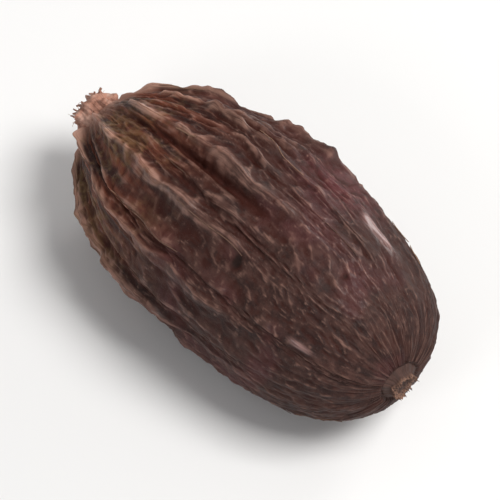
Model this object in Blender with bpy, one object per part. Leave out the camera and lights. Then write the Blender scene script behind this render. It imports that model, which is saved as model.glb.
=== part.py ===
"""A dried black cardamom pod lying on its side: the ribbed husk, the withered flower at its apex and the
stub of its stalk. Metres, +Z up, with the pod's long axis along X and its apex towards -X."""

import math
import random

import bmesh
import bpy
from mathutils import Quaternion, Vector

TURN = 2 * math.pi
DOWN = -math.pi / 2
SHARP_EDGE = math.radians(50)

# The husk over its ribs. It is blunter at the stalk than at the apex.
HUSK_LENGTH = 0.0315
HUSK_WIDTH = 0.0184
HUSK_HEIGHT = 0.0174
WIDEST_AT = 0.50
APEX_FULLNESS = 2.0
STALK_FULLNESS = 2.6

# The core under the ribs: a swell over each of the three seed cells, shallow dents, and a bent apex.
THREE_CELL_SWELL = 0.030
TWO_DENT = 0.012
FIVE_DENT = 0.010
APEX_BEND = 0.0011
APEX_DROOP = 0.0006

# The ribs, which stand high over the apex's half and low towards the stalk. Every other rib starts late,
# some way from the apex, where there is room for it between its neighbours.
RIB_COUNT = 23
RIB_HEIGHT = 0.00115
RIB_STRENGTHS = (0.62, 1.0)
RIB_SHARPNESS = 3.2
RIB_SPREAD = 0.24
RIB_SWAY = 0.046
RIB_LEAN = 0.035
RIB_FADE = 0.78
FADE_FROM_TO = (0.36, 0.80)
LATE_RIB_SHARE = 0.60
LATE_RIB_FROM_TO = (0.10, 0.42)
RIB_SEED = 12
HEIGHT_WAVES = ((1.3, 0.28), (3.1, 0.18), (6.4, 0.12))
SWAY_WAVES = ((1.1, 0.50), (2.7, 0.35), (5.6, 0.40))
SHARE_AT_MOUTH = 0.40

# The valleys after these ribs are deep furrows, which run out towards the stalk.
FURROWS = {3: 0.0005, 6: 0.0007, 13: 0.0005, 19: 0.0006}
FURROW_FADE_FROM_TO = (0.35, 0.70)

# Each rib takes four columns of points: its crest, a flank, the valley after it and the next rib's flank.
RIB_COLUMNS = (0.0, 0.21, 0.5, 0.79)
STATIONS = 42

# The round hollows that the flower and the stalk stand in, one at each end of the husk.
APEX_MOUTH = 0.0024
STALK_MOUTH = 0.0018
HOLLOW_RINGS = ((0.90, 0.02), (0.84, 0.45), (0.78, 1.0))
HOLLOW_LIP = 0.0004
HOLLOW_DEPTH = 0.0010
JOIN_GAP = 0.0003

# The flat spot that the pod lies on, where its lowest ribs dried pressed down.
FLAT_DEPTH = 0.00026
PRESSED_LENGTH = 0.0085
PRESSED_TURN = 0.52
PRESSED_SHARE = 0.85

# The withered flower: a short shrunken tube that breaks up into blunt shreds and a few longer curled strands.
TUBE_RADIUS = 0.00165
TUBE_LENGTH = 0.0026
TUBE_PROFILE = ((0.0, 0.92), (0.16, 1.0), (0.34, 1.05), (0.52, 1.04), (0.70, 1.04), (0.86, 0.96), (1.0, 0.62))
TUBE_BEND = 0.0004
TUBE_LOBES = 9
TUBE_UNEVEN = 0.14
SHREDS = {"count": 11, "length": (0.0009, 0.0016), "root": 0.00058, "tip": 0.00040, "splay": (14, 52), "curl": 55}
STRANDS = {"count": 4, "length": (0.0014, 0.0022), "root": 0.00042, "tip": 0.00032, "splay": (10, 40), "curl": 90}
SPRIG_OFFSET = 0.00035
SPRIG_SIDES = 5
SPRIG_STEPS = 8
FLOWER_SEED = 31

# The stub of the stalk, torn off just past the husk and hollowed where its pith dried.
STALK_RADIUS = 0.00110
STALK_STANDS_OUT = 0.0005
STALK_PROFILE = ((0.0, 1.0), (0.35, 1.0), (0.7, 0.92), (1.0, 0.98))
PITH_PROFILE = (0.84, 0.55)
STALK_TEAR = 0.00020
STALK_FLUTES = 7
STALK_SEED = 5

# How far a fluted or lobed section stands out at each ridge and each groove.
RIDGE_REACH = 1.05
GROOVE_REACH = 0.90

BROWN_HUSK = (0.080, 0.042, 0.034)
TAN_FLOWER = (0.260, 0.120, 0.072)
TAN_STALK = (0.230, 0.140, 0.090)

# Worked out from the sizes above.
APEX_REACH = HUSK_LENGTH * WIDEST_AT
STALK_REACH = HUSK_LENGTH * (1 - WIDEST_AT)
CORE_RADIUS = HUSK_WIDTH / 2 - RIB_HEIGHT
CORE_FLATNESS = (HUSK_HEIGHT / 2 - RIB_HEIGHT) / CORE_RADIUS
FLAT_Z = -CORE_RADIUS * CORE_FLATNESS + FLAT_DEPTH


def blend(start, end, value):
    """0 up to start, 1 from end on, and a smooth rise between them."""
    share = min(1.0, max(0.0, (value - start) / (end - start)))
    return share * share * (3 - 2 * share)


class Rib:
    """One rib: its place round the husk, and its height and the sway of its crest along the husk."""

    def __init__(self, index, draw):
        self.place = (index + draw.uniform(-RIB_SPREAD, RIB_SPREAD)) * TURN / RIB_COUNT
        self.strength = draw.uniform(*RIB_STRENGTHS)
        self.starts_late = index % 2 == 1
        self.lean = draw.uniform(-0.4, 1.0) * RIB_LEAN
        self.height_starts = [draw.uniform(0, TURN) for _ in HEIGHT_WAVES]
        self.sway_starts = [draw.uniform(0, TURN) for _ in SWAY_WAVES]

    def height(self, along):
        waves = zip(HEIGHT_WAVES, self.height_starts)
        uneven = 1 + sum(size * math.sin(TURN * rate * along + start) for (rate, size), start in waves)
        if self.starts_late:
            from_apex = LATE_RIB_SHARE * blend(*LATE_RIB_FROM_TO, along)
        else:
            from_apex = SHARE_AT_MOUTH + (1 - SHARE_AT_MOUTH) * blend(0.0, 0.15, along)
        to_stalk = (1 - RIB_FADE * blend(*FADE_FROM_TO, along)) * (1 - 0.7 * blend(0.93, 1.0, along))
        return RIB_HEIGHT * self.strength * uneven * from_apex * to_stalk

    def sway(self, along):
        crinkles = (1.0, 1.0, 1 - 0.6 * blend(0.45, 0.85, along))
        waves = zip(SWAY_WAVES, self.sway_starts, crinkles)
        swing = sum(size * crinkle * math.sin(TURN * rate * along + start) for (rate, size), start, crinkle in waves)
        return self.lean + RIB_SWAY * swing


def make_ribs():
    draw = random.Random(RIB_SEED)
    return [Rib(index, draw) for index in range(RIB_COUNT)]


def core_outline(turn):
    """The core's profile at a turn from 0 at the apex to pi at the stalk: (x, radius, normal)."""
    towards_apex = math.cos(turn) > 0
    reach = APEX_REACH if towards_apex else STALK_REACH
    fullness = APEX_FULLNESS if towards_apex else STALK_FULLNESS
    side = -1 if towards_apex else 1
    away = abs(math.cos(turn)) ** (2 / fullness)
    out = math.sin(turn) ** (2 / fullness)
    normal = Vector((side * away ** (fullness - 1) / reach, out ** (fullness - 1) / CORE_RADIUS))
    return side * reach * away, CORE_RADIUS * out, normal.normalized()


def turn_at_radius(mouth, fullness):
    return math.asin((mouth / CORE_RADIUS) ** (fullness / 2))


def core_section(angle, oval_share):
    """How far the core stands out at an angle round it, as a share of its radius. It is round at the ends."""
    oval = 1 / math.hypot(math.cos(angle), math.sin(angle) / CORE_FLATNESS)
    cells = 1 + THREE_CELL_SWELL * math.cos(3 * angle + 0.9)
    dents = 1 + TWO_DENT * math.sin(2 * angle + 1.7) + FIVE_DENT * math.sin(5 * angle + 0.4)
    return 1 + (oval * cells * dents - 1) * oval_share


def axis_at(along):
    """The centre of the husk's section: the apex is bent to -Y and droops a little."""
    bent = (1 - along) ** 2
    return Vector((0, -APEX_BEND * bent, -APEX_DROOP * bent))


def husk_point(ribs, column, turn):
    """The husk's surface at a column of points and a turn from apex to stalk."""
    index, part = divmod(column, len(RIB_COLUMNS))
    rib, following = ribs[index], ribs[(index + 1) % RIB_COUNT]
    share = RIB_COLUMNS[part]
    following_place = following.place + (TURN if index + 1 == RIB_COUNT else 0)
    near, far = (1 - share) ** RIB_SHARPNESS, share**RIB_SHARPNESS

    x, radius, normal = core_outline(turn)
    along = (x + APEX_REACH) / HUSK_LENGTH
    angle = rib.place + (following_place - rib.place) * share
    angle += math.sin(turn) * (near * rib.sway(along) + far * following.sway(along))

    from_down = (angle - DOWN + math.pi) % TURN - math.pi
    pressed = math.exp(-((x / PRESSED_LENGTH) ** 2) - (from_down / PRESSED_TURN) ** 2)
    rise = near * rib.height(along) + far * following.height(along)
    rise *= 1 - PRESSED_SHARE * pressed
    if share == 0.5:
        runs_on = 1 - blend(*FURROW_FADE_FROM_TO, along)
        rise -= FURROWS.get(index, 0.0) * runs_on * math.sin(turn) ** 2 * (1 - pressed)

    out = radius * core_section(angle, blend(0.25, 0.8, math.sin(turn))) + rise * normal.y
    point = Vector((x + rise * normal.x, out * math.cos(angle), out * math.sin(angle)))
    point += axis_at(along)
    point.z = max(point.z, FLAT_Z)
    return point


def add_ring(mesh, points):
    return [mesh.verts.new(point) for point in points]


def bridge_rings(mesh, first, second):
    count = len(first)
    for k in range(count):
        after = (k + 1) % count
        mesh.faces.new((first[k], first[after], second[after], second[k]))


def finish_object(name, mesh, material):
    """Makes an object of a bmesh, with its faces pointing out, smooth except at its sharp edges."""
    bmesh.ops.recalc_face_normals(mesh, faces=mesh.faces[:])
    data = bpy.data.meshes.new(name)
    mesh.to_mesh(data)
    mesh.free()
    data.shade_smooth()
    data.set_sharp_from_angle(angle=SHARP_EDGE)
    data.materials.append(material)
    made = bpy.data.objects.new(name, data)
    bpy.context.scene.collection.objects.link(made)
    return made


def make_material(name, colour, roughness):
    material = bpy.data.materials.new(name)
    material.use_nodes = True
    shader = material.node_tree.nodes["Principled BSDF"]
    shader.inputs["Base Color"].default_value = (*colour, 1)
    shader.inputs["Roughness"].default_value = roughness
    shader.inputs["Metallic"].default_value = 0
    material.diffuse_color = (*colour, 1)
    return material


def add_hollow(mesh, rim, end_x, inwards, mouth, centre):
    """The hollow at one end of the husk, stepped inwards from its rim to a flat floor. It returns the floor's x."""
    angles = [math.atan2(vertex.co.z - centre.z, vertex.co.y - centre.y) for vertex in rim]
    previous = rim
    for radius_share, depth_share in HOLLOW_RINGS:
        radius = mouth * radius_share
        level = end_x + inwards * (HOLLOW_LIP + HOLLOW_DEPTH * depth_share)
        ring = add_ring(mesh, [
            Vector((level, centre.y + radius * math.cos(angle), centre.z + radius * math.sin(angle)))
            for angle in angles
        ])
        bridge_rings(mesh, previous, ring)
        previous = ring
    mesh.faces.new(previous)
    return level


def make_husk(material):
    """The husk as one closed skin, from the apex's hollow over the ribs to the stalk's hollow."""
    ribs = make_ribs()
    columns = RIB_COUNT * len(RIB_COLUMNS)
    first = turn_at_radius(APEX_MOUTH, APEX_FULLNESS)
    last = math.pi - turn_at_radius(STALK_MOUTH, STALK_FULLNESS)
    mesh = bmesh.new()
    rings = []
    for station in range(STATIONS):
        turn = first + (last - first) * station / (STATIONS - 1)
        rings.append(add_ring(mesh, [husk_point(ribs, column, turn) for column in range(columns)]))
    for before, after in zip(rings, rings[1:]):
        bridge_rings(mesh, before, after)
    apex_floor = add_hollow(mesh, rings[0], -APEX_REACH, 1, APEX_MOUTH, axis_at(0.0))
    stalk_floor = add_hollow(mesh, rings[-1], STALK_REACH, -1, STALK_MOUTH, axis_at(1.0))
    return finish_object("husk", mesh, material), apex_floor, stalk_floor


def sweep(mesh, path, radii, sides, lobe=None):
    """A closed tube along a path, with its own radius at each step. lobe(k, step) makes the section uneven."""
    rings = []
    across = (path[1] - path[0]).orthogonal()
    for step, (point, radius) in enumerate(zip(path, radii)):
        ahead = (path[min(step + 1, len(path) - 1)] - path[max(step - 1, 0)]).normalized()
        across = (across - ahead * across.dot(ahead)).normalized()
        other = ahead.cross(across)
        ring = []
        for k in range(sides):
            angle = TURN * k / sides
            reach = radius * (lobe(k, step) if lobe else 1)
            ring.append(point + reach * (math.cos(angle) * across + math.sin(angle) * other))
        rings.append(add_ring(mesh, ring))
    for before, after in zip(rings, rings[1:]):
        bridge_rings(mesh, before, after)
    mesh.faces.new(rings[0])
    mesh.faces.new(rings[-1])


def make_flower_tube(floor, material):
    """The shrunken flower tube: lobed round its length, waisted, and a little bent. It also returns its path."""
    draw = random.Random(FLOWER_SEED)
    sides = TUBE_LOBES * 2
    uneven = [[draw.uniform(1 - TUBE_UNEVEN, 1 + TUBE_UNEVEN) for _ in range(sides)] for _ in TUBE_PROFILE]
    root = axis_at(0.0)
    path, radii = [], []
    for share, width in TUBE_PROFILE:
        bend = TUBE_BEND * share * share
        path.append(Vector((floor - JOIN_GAP - TUBE_LENGTH * share, root.y - bend, root.z + bend)))
        radii.append(TUBE_RADIUS * width)
    in_hollow = 2

    def lobe(k, step):
        ridge = RIDGE_REACH if k % 2 == 0 else GROOVE_REACH
        return ridge * (uneven[step][k] if step >= in_hollow else 1.0)

    mesh = bmesh.new()
    sweep(mesh, path, radii, sides, lobe)
    return finish_object("calyx_tuft", mesh, material), path


def make_sprig(name, kind, around, tube_path, draw, material):
    """One shred or strand: its root is sunk in the tube, and it splays away from the husk and curls."""
    splay = math.radians(draw.uniform(*kind["splay"]))
    curl = math.radians(draw.uniform(0.35, 1.0) * kind["curl"]) * draw.choice((-1, 1, 1))
    step_length = draw.uniform(*kind["length"]) / (SPRIG_STEPS - 1)
    sideways = Vector((0, math.cos(around), math.sin(around)))
    curl_axis = Vector((draw.uniform(-0.7, 0.7), -math.sin(around), math.cos(around))).normalized()
    heading = Vector((-math.cos(splay), 0, 0)) + math.sin(splay) * sideways
    point = tube_path[3].lerp(tube_path[-2], draw.random()) + SPRIG_OFFSET * sideways
    path, radii = [point], [kind["root"]]
    for step in range(1, SPRIG_STEPS):
        share = step / (SPRIG_STEPS - 1)
        heading = Quaternion(curl_axis, curl * share * 2 / SPRIG_STEPS) @ heading
        point = point + step_length * heading
        path.append(point)
        radii.append(kind["root"] + (kind["tip"] - kind["root"]) * share)
    mesh = bmesh.new()
    sweep(mesh, path, radii, SPRIG_SIDES)
    return finish_object(name, mesh, material)


def join_all(body, others):
    """Joins the meshes of a collection into the body by one Boolean union, and removes the collection."""
    join = body.modifiers.new("join", "BOOLEAN")
    join.operation = "UNION"
    join.operand_type = "COLLECTION"
    join.collection = others
    join.solver = "EXACT"
    bpy.context.view_layer.update()
    graph = bpy.context.evaluated_depsgraph_get()
    joined = bpy.data.meshes.new_from_object(body.evaluated_get(graph))
    body.modifiers.clear()
    body.data = joined
    for other in list(others.objects):
        bpy.data.objects.remove(other)
    bpy.data.collections.remove(others)


def make_flower(floor, material):
    """The tube with its shreds and strands joined into it, as the one body that they grew as."""
    tube, tube_path = make_flower_tube(floor, material)
    draw = random.Random(FLOWER_SEED + 1)
    sprigs = bpy.data.collections.new("sprigs")
    bpy.context.scene.collection.children.link(sprigs)
    for label, kind in (("shred", SHREDS), ("strand", STRANDS)):
        for index in range(kind["count"]):
            around = TURN * (index + draw.uniform(-0.3, 0.3)) / kind["count"]
            sprig = make_sprig(f"{label}_{index}", kind, around, tube_path, draw, material)
            bpy.context.scene.collection.objects.unlink(sprig)
            sprigs.objects.link(sprig)
    join_all(tube, sprigs)
    return tube


def make_stalk(floor, material):
    """The stalk's stub: fluted, a little waisted, with a torn rim round its hollowed pith."""
    draw = random.Random(STALK_SEED)
    root = axis_at(1.0)
    sides = STALK_FLUTES * 2
    start = floor + JOIN_GAP
    length = STALK_REACH + STALK_STANDS_OUT - start
    tears = [draw.uniform(-STALK_TEAR, STALK_TEAR) for _ in range(sides)]
    mesh = bmesh.new()
    rings = []
    for share, width in (*STALK_PROFILE, PITH_PROFILE):
        ring = []
        for k in range(sides):
            angle = TURN * k / sides
            radius = STALK_RADIUS * width * (RIDGE_REACH if k % 2 == 0 else GROOVE_REACH)
            x = start + length * share + (tears[k] if share == 1.0 else 0.0)
            ring.append(Vector((x, root.y + radius * math.cos(angle), root.z + radius * math.sin(angle))))
        rings.append(add_ring(mesh, ring))
    for before, after in zip(rings, rings[1:]):
        bridge_rings(mesh, before, after)
    mesh.faces.new(rings[0])
    mesh.faces.new(rings[-1])
    return finish_object("stalk_stub", mesh, material)


def stand_on_origin(objects):
    """Hangs the pieces on an empty, placed so that the origin is at the bottom centre of their box."""
    corners = [vertex.co for made in objects for vertex in made.data.vertices]
    low = Vector([min(corner[k] for corner in corners) for k in range(3)])
    high = Vector([max(corner[k] for corner in corners) for k in range(3)])
    pod = bpy.data.objects.new("black_cardamom_pod", None)
    bpy.context.scene.collection.objects.link(pod)
    pod.location = (-(low.x + high.x) / 2, -(low.y + high.y) / 2, -low.z)
    for made in objects:
        made.parent = pod


def main():
    for old in list(bpy.data.objects):
        bpy.data.objects.remove(old)
    brown = make_material("brown_husk", BROWN_HUSK, 0.68)
    flower_tan = make_material("tan_flower", TAN_FLOWER, 0.72)
    stalk_tan = make_material("tan_stalk", TAN_STALK, 0.85)
    husk, apex_floor, stalk_floor = make_husk(brown)
    flower = make_flower(apex_floor, flower_tan)
    stalk = make_stalk(stalk_floor, stalk_tan)
    stand_on_origin([husk, flower, stalk])


main()
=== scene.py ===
"""A dried black cardamom pod on a pale floor. Its husk, its withered flower and its torn stalk are each made
here in fine detail over the solid that they stand for. Metres, +Z up, with the apex towards -X."""

import math
import random

import bpy
import numpy as np
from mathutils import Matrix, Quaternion, Vector, noise


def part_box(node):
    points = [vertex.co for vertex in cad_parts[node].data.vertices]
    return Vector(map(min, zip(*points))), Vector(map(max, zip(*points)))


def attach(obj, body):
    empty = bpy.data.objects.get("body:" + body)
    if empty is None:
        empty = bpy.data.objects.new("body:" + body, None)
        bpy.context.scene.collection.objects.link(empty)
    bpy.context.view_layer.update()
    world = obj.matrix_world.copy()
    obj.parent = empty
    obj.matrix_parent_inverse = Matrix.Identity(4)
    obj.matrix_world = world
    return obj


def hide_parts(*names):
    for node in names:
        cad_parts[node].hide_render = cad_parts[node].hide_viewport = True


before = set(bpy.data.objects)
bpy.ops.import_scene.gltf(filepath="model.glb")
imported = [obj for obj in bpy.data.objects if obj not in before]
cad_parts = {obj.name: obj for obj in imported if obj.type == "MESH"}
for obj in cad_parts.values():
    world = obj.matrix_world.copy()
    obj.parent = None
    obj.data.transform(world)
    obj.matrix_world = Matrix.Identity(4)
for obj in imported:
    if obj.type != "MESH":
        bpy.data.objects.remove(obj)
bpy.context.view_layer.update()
bpy.ops.object.select_all(action="DESELECT")

# Floor, light and camera: a pale matt sweep under a large soft lamp from the upper right, with two weak ones,
# low behind the pod and in front of it. A long lens looks down on the pod, whose apex is at the upper left.
VIEW_AZIMUTH = math.radians(50)
VIEW_ELEVATION = math.radians(55)
VIEW_DISTANCE = 0.42
VIEW_LENS = 420
VIEW_CLIP = (0.01, 10.0)
VIEW_CENTRE = Vector((0.0002, 0.0002, 0.0056))
FLOOR_SIZE = 3.0
FLOOR_GREY = 0.82
FLOOR_TOOTH = 0.0012
FLOOR_TOOTH_HEIGHT = 0.00003
KEY_WHITE = (1.0, 0.985, 0.965)
EDGE_WHITE = (1.0, 0.98, 0.96)
FILL_WHITE = (0.98, 0.98, 1.0)
ROOM_LIGHT = 0.30


class Value:
    """A number or colour that changes over a surface. Arithmetic on it adds Math nodes to its finish."""

    def __init__(self, finish, socket):
        self.finish = finish
        self.socket = socket

    def math(self, operation, first, second):
        return self.finish.node("Math", {"operation": operation}, {0: first, 1: second})

    def __add__(self, other):
        return self.math("ADD", self, other)

    def __radd__(self, other):
        return self.math("ADD", other, self)

    def __sub__(self, other):
        return self.math("SUBTRACT", self, other)

    def __rsub__(self, other):
        return self.math("SUBTRACT", other, self)

    def __mul__(self, other):
        return self.math("MULTIPLY", self, other)

    def __rmul__(self, other):
        return self.math("MULTIPLY", other, self)


class Finish:
    """A material made of nodes that end in one Principled shader."""

    def __init__(self, name):
        self.material = bpy.data.materials.new(name)
        self.material.use_nodes = True
        self.nodes = self.material.node_tree.nodes
        self.links = self.material.node_tree.links
        self.shader = self.nodes["Principled BSDF"]

    def put(self, socket, value):
        if isinstance(value, Value):
            self.links.new(value.socket, socket)
        else:
            socket.default_value = value

    def node(self, kind, settings, sockets, output=0):
        """Adds a node: first its settings, then its sockets' values or links. Gives one of its outputs."""
        made = self.nodes.new("ShaderNode" + kind)
        for name, value in settings.items():
            setattr(made, name, value)
        for name, value in sockets.items():
            self.put(made.inputs[name], value)
        return Value(self, made.outputs[output])

    def attribute(self, name, output="Fac"):
        return self.node("Attribute", {"attribute_name": name}, {}, output)

    def noise(self, place, across, lengthwise, detail=2.0, rough=0.5):
        """Random hills from 0 to 1. The grain runs along the third axis of place, and sizes are in metres."""
        scale = (1 / across, 1 / across, 1 / lengthwise)
        moved = self.node("Mapping", {}, {"Vector": place, "Scale": scale})
        sockets = {"Vector": moved, "Scale": 1.0, "Detail": detail, "Roughness": rough}
        return self.node("TexNoise", {}, sockets)

    def step(self, value, low, high, most=1.0):
        """0 where value is at low, most where it is at high, and a smooth rise between them."""
        sockets = {"Value": value, "From Min": low, "From Max": high, "To Min": 0.0, "To Max": most}
        return self.node("MapRange", {"interpolation_type": "SMOOTHSTEP"}, sockets)

    def mix(self, share, first, second):
        """The first colour, with the second over it by a share."""
        return self.node("Mix", {"data_type": "RGBA"}, {0: share, 6: first, 7: second}, output=2)

    def layers(self, colour, coats):
        """The colour with coats laid over it in order, each given by its share and its own colour."""
        for share, coat in coats:
            colour = self.mix(share, colour, coat)
        return colour

    def bump(self, height, distance, strength):
        return self.node("Bump", {}, {"Height": height, "Distance": distance, "Strength": strength})

    def shade(self, **sockets):
        """Sets the shader's sockets, whose names are written with _ for a space."""
        for name, value in sockets.items():
            self.put(self.shader.inputs[name.replace("_", " ")], value)

    def wear(self, piece):
        piece.data.materials.clear()
        piece.data.materials.append(self.material)


def srgb(red, green, blue):
    """The linear colour of a screen colour, whose parts run from 0 to 255."""
    parts = [part / 255 for part in (red, green, blue)]
    return (*(part / 12.92 if part <= 0.04045 else ((part + 0.055) / 1.055) ** 2.4 for part in parts), 1.0)


bpy.ops.mesh.primitive_plane_add(size=FLOOR_SIZE)
floor = bpy.context.object
floor.name = "floor"
sweep_paper = Finish("pale_floor")
sweep_place = sweep_paper.node("TexCoord", {}, {}, "Object")
sweep_tooth = sweep_paper.noise(sweep_place, FLOOR_TOOTH, FLOOR_TOOTH, 4.0)
sweep_paper.shade(
    Base_Color=(FLOOR_GREY, FLOOR_GREY, FLOOR_GREY, 1.0),
    Roughness=0.85,
    Normal=sweep_paper.bump(sweep_tooth, FLOOR_TOOTH_HEIGHT, 0.25),
)
sweep_paper.wear(floor)


def towards(azimuth, elevation):
    """The direction from the pod to something that looks at it, as the views count azimuth."""
    level = math.cos(elevation)
    return Vector((math.sin(azimuth) * level, -math.cos(azimuth) * level, math.sin(elevation)))


def add_lamp(name, azimuth, elevation, distance, size, power, colour):
    """A square soft lamp that faces the pod."""
    back = towards(math.radians(azimuth), math.radians(elevation))
    bpy.ops.object.light_add(type="AREA", location=VIEW_CENTRE + distance * back)
    lamp = bpy.context.object
    lamp.name = name
    lamp.rotation_euler = (-back).to_track_quat("-Z", "Y").to_euler()
    lamp.data.size = size
    lamp.data.energy = power
    lamp.data.color = colour


add_lamp("key_lamp", azimuth=122, elevation=60, distance=0.50, size=0.22, power=2.40, colour=KEY_WHITE)
add_lamp("edge_lamp", azimuth=191, elevation=20, distance=0.45, size=0.15, power=0.6, colour=EDGE_WHITE)
add_lamp("fill_lamp", azimuth=12, elevation=34, distance=0.60, size=0.18, power=0.5, colour=FILL_WHITE)

world = bpy.data.worlds.new("soft_room")
world.use_nodes = True
background = world.node_tree.nodes["Background"]
background.inputs["Color"].default_value = (1.0, 1.0, 1.0, 1.0)
background.inputs["Strength"].default_value = ROOM_LIGHT
bpy.context.scene.world = world
bpy.context.scene.view_settings.view_transform = "Standard"

view_back = towards(VIEW_AZIMUTH, VIEW_ELEVATION)
bpy.ops.object.camera_add(location=VIEW_CENTRE + VIEW_DISTANCE * view_back)
camera = bpy.context.object
camera.rotation_euler = (-view_back).to_track_quat("-Z", "Y").to_euler()
camera.data.lens = VIEW_LENS
camera.data.clip_start, camera.data.clip_end = VIEW_CLIP
bpy.context.scene.camera = camera

# Husk: the closed, leathery skin of the capsule, dried hard and brown-black. Wavy ribs run from the apex to
# the stalk, high and crinkled over the apex's half, and finer folds of the shrunken skin run between them.
# It is one closed skin with a round hollow at each end, laid over the same ribs as its solid.
HUSK_LENGTH = 0.0315
HUSK_WIDTH = 0.0184
HUSK_HEIGHT = 0.0174
WIDEST_AT = 0.50
APEX_FULLNESS = 2.0
STALK_FULLNESS = 2.6
THREE_CELL_SWELL = 0.030
THREE_CELL_START = 0.9
TWO_DENT = 0.012
TWO_DENT_START = 1.7
FIVE_DENT = 0.010
FIVE_DENT_START = 0.4
OVAL_FROM_TO = (0.25, 0.8)
APEX_BEND = 0.0011
APEX_DROOP = 0.0006
RIB_COUNT = 23
RIB_HEIGHT = 0.00115
RIB_STRENGTHS = (0.62, 1.0)
RIB_SHARPNESS = 3.2
RIB_SPREAD = 0.24
RIB_SWAY = 0.046
RIB_LEAN = 0.035
LEAN_SHARES = (-0.4, 1.0)
RIB_FADE = 0.78
FADE_FROM_TO = (0.36, 0.80)
END_FADE = 0.7
END_FADE_FROM_TO = (0.93, 1.0)
LATE_RIB_SHARE = 0.60
LATE_RIB_FROM_TO = (0.10, 0.42)
RIB_SEED = 12
HEIGHT_WAVES = ((1.3, 0.28), (3.1, 0.18), (6.4, 0.12))
SWAY_WAVES = ((1.1, 0.50), (2.7, 0.35), (5.6, 0.40))
SWAY_FADE = 0.6
SWAY_FADE_FROM_TO = (0.45, 0.85)
SHARE_AT_MOUTH = 0.40
RISE_FROM_TO = (0.0, 0.15)
FURROWS = {3: 0.0005, 6: 0.0007, 13: 0.0005, 19: 0.0006}
FURROW_FADE_FROM_TO = (0.35, 0.70)
FURROW_WIDTH = 0.17
APEX_MOUTH = 0.0024
STALK_MOUTH = 0.0018
HOLLOW_LIP = 0.0004
HOLLOW_DEPTH = 0.0010
JOIN_GAP = 0.0003
FLAT_DEPTH = 0.00026
PRESSED_LENGTH = 0.0085
PRESSED_TURN = 0.52
PRESSED_SHARE = 0.85
TURN = 2 * math.pi
DOWN = -math.pi / 2
APEX_REACH = HUSK_LENGTH * WIDEST_AT
STALK_REACH = HUSK_LENGTH * (1 - WIDEST_AT)
CORE_RADIUS = HUSK_WIDTH / 2 - RIB_HEIGHT
CORE_FLATNESS = (HUSK_HEIGHT / 2 - RIB_HEIGHT) / CORE_RADIUS
FLAT_Z = -CORE_RADIUS * CORE_FLATNESS + FLAT_DEPTH

# The skin's own folds: how finely the husk is drawn, and how high each kind stands. A pit is given by its
# rib, its place along the husk and its radius. A gleam, a stretch of a crest that is smoothed and given a
# glossy coat, with a pale painted highlight laid on its colour, is given by its rib, where it starts and
# ends, its share and its width.
COLUMNS_A_RIB = 20
STATIONS = 204
SOLID_COLUMNS = (0.0, 0.21, 0.5, 0.79)
SOLID_STATIONS = 42
CREST_ROUNDING = 0.035
FOLD_COUNT = 150
FOLD_STARTS = (-0.05, 0.80)
FOLD_LENGTHS = (0.12, 0.50)
FOLD_DRIFTS = (-0.8, 0.8)
FOLD_WAVES = (2, 5)
FOLD_WANDER = 0.07
FOLD_RUN_IN = 0.06
FOLD_RUN_OUT = 0.10
FOLD_HEIGHTS = (0.00008, 0.00026)
FOLD_WIDTHS = (0.05, 0.11)
RAISED_SHARE = 0.7
SUNK_HEIGHT = -0.8
FOLD_SEED = 7
DENT_HEIGHT = 0.00026
CRINKLE_HEIGHT = 0.00008
NET_HEIGHT = 0.00009
NET_SHARPNESS = 3.4
LEATHER_HEIGHT = 0.00008
PORE_HEIGHT = 0.00005
CREST_NOTCH = 0.34
MOUTH_CREST = 0.30
MOUTH_FROM_TO = (0.0, 0.045)
FLANK_FROM_TO = (0.03, 0.2)
STALKWARDS_FROM_TO = (0.38, 0.80)
FOLD_FADE = 0.60
CRINKLE_FADE = 0.65
NOTCH_FADE = 0.30
KNOB_HEIGHT = 0.00034
KNOB_AT = 0.034
KNOB_LENGTH = 0.021
KNOB_WIDTH = 0.55
MAIN_PIT = (8.28, 0.615, 0.00042)
PIT_COUNT = 40
PIT_FROM_TO = (0.15, 0.9)
PIT_RADII = (0.00016, 0.00026)
PIT_DEPTH = 0.00028
PIT_SEED = 19
GLEAMS = ((3.1, 0.68, 0.81, 1.0, 0.25), (8.85, 0.81, 0.89, 0.9, 0.09))
GLEAM_HEIGHT = 0.00018
GLEAM_SMOOTHING = 0.85
CREST_REACH = 11
CREST_HEIGHT = 0.00042
FOLD_REACH = 2
FOLD_HEIGHT = 0.000045
NET_LIMIT = 0.7
HOLLOW_RINGS = ((-0.08, 0.90), (-0.14, 0.84), (0.0, 0.77), (0.3, 0.76), (0.65, 0.77), (1.0, 0.78))

# The random hills that these folds are made of: their length across the grain and along it, and their seed.
CRINKLED_PATCHES = (0.0045, 0.0060, 3.1)
CRINKLE_HILLS = (0.0010, 0.00042, 11.7)
NET_HILLS = (0.00075, 0.0020, 31.3)
FINE_NET_HILLS = (0.00046, 0.00140, 37.9)
LEATHER_HILLS = (0.0006, 0.0016, 23.9)
PORE_HILLS = (0.00028, 0.00034, 41.3)
DENT_HILLS = (0.0040, 0.0052, 57.7)
NOTCH_HILLS = (0.0022, 0.0013, 71.9)
FINE_NOTCH_HILLS = (0.0022, 0.0006, 83.1)
WARP_SIZE = (0.0026, 0.0034)
WARP_SEEDS = (1.3, 2.9, 4.7)
WARP_REACH = 0.0011


def blend(start, end, value):
    """0 up to start, 1 from end on, and a smooth rise between them."""
    share = np.clip((value - start) / (end - start), 0, 1)
    return share * share * (3 - 2 * share)


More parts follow.
